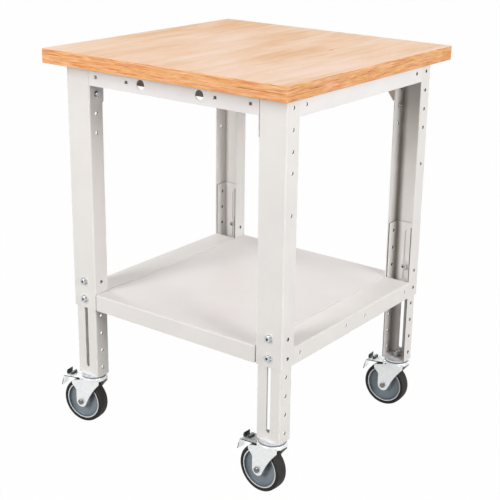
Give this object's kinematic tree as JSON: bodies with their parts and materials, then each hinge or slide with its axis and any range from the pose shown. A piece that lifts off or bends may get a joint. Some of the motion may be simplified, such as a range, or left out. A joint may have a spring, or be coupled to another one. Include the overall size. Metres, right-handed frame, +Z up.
{
  "type": "mobile workbench",
  "caption": "Mobile workbench: plywood top on a grey folded-steel frame with apron rails, a low shelf, clamped telescopic legs and braked swivel casters.",
  "frame": {"origin": "on the floor under the centre of the worktop, legs as in the picture", "axes": "+X to the right along the front edge, +Y from the front to the rear, +Z up"},
  "size_m": [0.7752, 0.75, 1.04],
  "materials": {
    "beech_plywood": "oiled satin",
    "grey_coat": "semi-gloss powder coat",
    "zinc": "bright zinc plated",
    "dark_steel": "blackened",
    "bush_plastic": "satin",
    "wheel_plastic": "moulded satin",
    "tyre_rubber": "matte",
    "lever_plastic": "moulded"
  },
  "bodies": {
    "frame": {"worktop": "beech_plywood", "front_apron": "grey_coat", "rear_apron": "grey_coat", "shelf": "grey_coat", "top_rail_right": "grey_coat", "top_rail_left": "grey_coat", "lower_rail_right": "grey_coat", "lower_rail_left": "grey_coat", "worktop_screws": "zinc", "apron_bolts": "zinc", "apron_nuts": "zinc", "shelf_bolts": "zinc", "shelf_nuts": "zinc", "leg_clamp_bolts": "zinc", "leg_clamp_nuts": "zinc", "outer_leg_front_right": "grey_coat", "outer_leg_front_left": "grey_coat", "outer_leg_rear_right": "grey_coat", "outer_leg_rear_left": "grey_coat"},
    "leg_front_right": {"inner_leg_front_right": "grey_coat", "caster_stem_front_right": "zinc", "caster_stem_nut_front_right": "zinc"},
    "fork_front_right": {"caster_fork_front_right": "zinc", "wheel_axle_front_right": "dark_steel"},
    "wheel_front_right": {"tyre_front_right": "tyre_rubber", "wheel_hub_front_right": "wheel_plastic", "wheel_bush_front_right": "bush_plastic"},
    "pedal_front_right": {"brake_pedal_front_right": "zinc", "brake_lever_front_right": "lever_plastic"},
    "leg_front_left": {"inner_leg_front_left": "grey_coat", "caster_stem_front_left": "zinc", "caster_stem_nut_front_left": "zinc"},
    "fork_front_left": {"caster_fork_front_left": "zinc", "wheel_axle_front_left": "dark_steel"},
    "wheel_front_left": {"tyre_front_left": "tyre_rubber", "wheel_hub_front_left": "wheel_plastic", "wheel_bush_front_left": "bush_plastic"},
    "pedal_front_left": {"brake_pedal_front_left": "zinc", "brake_lever_front_left": "lever_plastic"},
    "leg_rear_right": {"inner_leg_rear_right": "grey_coat", "caster_stem_rear_right": "zinc", "caster_stem_nut_rear_right": "zinc"},
    "fork_rear_right": {"caster_fork_rear_right": "zinc", "wheel_axle_rear_right": "dark_steel"},
    "wheel_rear_right": {"tyre_rear_right": "tyre_rubber", "wheel_hub_rear_right": "wheel_plastic", "wheel_bush_rear_right": "bush_plastic"},
    "pedal_rear_right": {"brake_pedal_rear_right": "zinc", "brake_lever_rear_right": "lever_plastic"},
    "leg_rear_left": {"inner_leg_rear_left": "grey_coat", "caster_stem_rear_left": "zinc", "caster_stem_nut_rear_left": "zinc"},
    "fork_rear_left": {"caster_fork_rear_left": "zinc", "wheel_axle_rear_left": "dark_steel"},
    "wheel_rear_left": {"tyre_rear_left": "tyre_rubber", "wheel_hub_rear_left": "wheel_plastic", "wheel_bush_rear_left": "bush_plastic"},
    "pedal_rear_left": {"brake_pedal_rear_left": "zinc", "brake_lever_rear_left": "lever_plastic"}
  },
  "joints": [
    {"name": "leg_slide_front_right", "type": "slide", "parent": "frame", "child": "leg_front_right", "axis": [0, 0, 1], "range_m": [-0.09, 0.19]},
    {"name": "caster_swivel_front_right", "type": "hinge", "parent": "leg_front_right", "child": "fork_front_right", "pos_m": [0.3035, -0.302, 0.1437], "axis": [0, 0, 1], "continuous": true},
    {"name": "wheel_spin_front_right", "type": "hinge", "parent": "fork_front_right", "child": "wheel_front_right", "pos_m": [0.27554, -0.30053, 0.0625], "axis": [0.0523, 0.9986, 0], "continuous": true},
    {"name": "brake_pedal_front_right", "type": "hinge", "parent": "fork_front_right", "child": "pedal_front_right", "pos_m": [0.28153, -0.30085, 0.1325], "axis": [-0.0523, -0.9986, 0], "range_deg": [0, 9]},
    {"name": "leg_slide_front_left", "type": "slide", "parent": "frame", "child": "leg_front_left", "axis": [0, 0, 1], "range_m": [-0.09, 0.19]},
    {"name": "caster_swivel_front_left", "type": "hinge", "parent": "leg_front_left", "child": "fork_front_left", "pos_m": [-0.3035, -0.302, 0.1437], "axis": [0, 0, 1], "continuous": true},
    {"name": "wheel_spin_front_left", "type": "hinge", "parent": "fork_front_left", "child": "wheel_front_left", "pos_m": [-0.33123, -0.3059, 0.0625], "axis": [-0.1392, 0.9903, 0], "continuous": true},
    {"name": "brake_pedal_front_left", "type": "hinge", "parent": "fork_front_left", "child": "pedal_front_left", "pos_m": [-0.32529, -0.30506, 0.1325], "axis": [0.1392, -0.9903, 0], "range_deg": [0, 9]},
    {"name": "leg_slide_rear_right", "type": "slide", "parent": "frame", "child": "leg_rear_right", "axis": [0, 0, 1], "range_m": [-0.09, 0.19]},
    {"name": "caster_swivel_rear_right", "type": "hinge", "parent": "leg_rear_right", "child": "fork_rear_right", "pos_m": [0.3035, 0.302, 0.1437], "axis": [0, 0, 1], "continuous": true},
    {"name": "wheel_spin_rear_right", "type": "hinge", "parent": "fork_rear_right", "child": "wheel_rear_right", "pos_m": [0.27554, 0.30053, 0.0625], "axis": [-0.0523, 0.9986, 0], "continuous": true},
    {"name": "brake_pedal_rear_right", "type": "hinge", "parent": "fork_rear_right", "child": "pedal_rear_right", "pos_m": [0.28153, 0.30085, 0.1325], "axis": [0.0523, -0.9986, 0], "range_deg": [0, 9]},
    {"name": "leg_slide_rear_left", "type": "slide", "parent": "frame", "child": "leg_rear_left", "axis": [0, 0, 1], "range_m": [-0.09, 0.19]},
    {"name": "caster_swivel_rear_left", "type": "hinge", "parent": "leg_rear_left", "child": "fork_rear_left", "pos_m": [-0.3035, 0.302, 0.1437], "axis": [0, 0, 1], "continuous": true},
    {"name": "wheel_spin_rear_left", "type": "hinge", "parent": "fork_rear_left", "child": "wheel_rear_left", "pos_m": [-0.3315, 0.302, 0.0625], "axis": [0, 1, 0], "continuous": true},
    {"name": "brake_pedal_rear_left", "type": "hinge", "parent": "fork_rear_left", "child": "pedal_rear_left", "pos_m": [-0.3255, 0.302, 0.1325], "axis": [0, -1, 0], "range_deg": [0, 9]}
  ]
}
